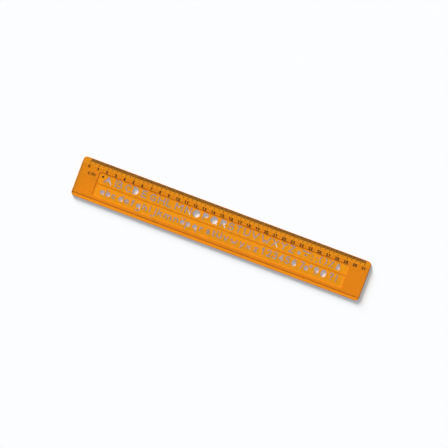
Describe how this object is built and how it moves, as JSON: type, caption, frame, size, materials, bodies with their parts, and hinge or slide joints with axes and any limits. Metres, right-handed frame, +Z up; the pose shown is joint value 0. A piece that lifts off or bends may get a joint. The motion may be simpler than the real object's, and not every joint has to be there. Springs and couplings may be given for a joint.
{
  "type": "lettering stencil",
  "caption": "Flat see-through lettering stencil with cut-out letters and figures in a sunk panel, a sloped centimetre scale on one long edge and a low ruling edge on the other.",
  "frame": {"origin": "middle of the underside, on the face that lies on the paper", "axes": "+X along the scale towards the high numbers, +Y across the plate towards the scale edge, +Z up out of the printed face"},
  "size_m": [0.325, 0.044, 0.0023],
  "materials": {
    "amber_plastic": "clear amber, moulded, lightly scuffed gloss",
    "black_ink": "printed brown-black ink"
  },
  "bodies": {
    "root": {"stencil_plate": "amber_plastic", "millimetre_ticks": "black_ink", "half_centimetre_ticks": "black_ink", "centimetre_ticks": "black_ink", "scale_numerals": "black_ink", "unit_mark": "black_ink", "pen_dot": "black_ink"}
  },
  "joints": []
}
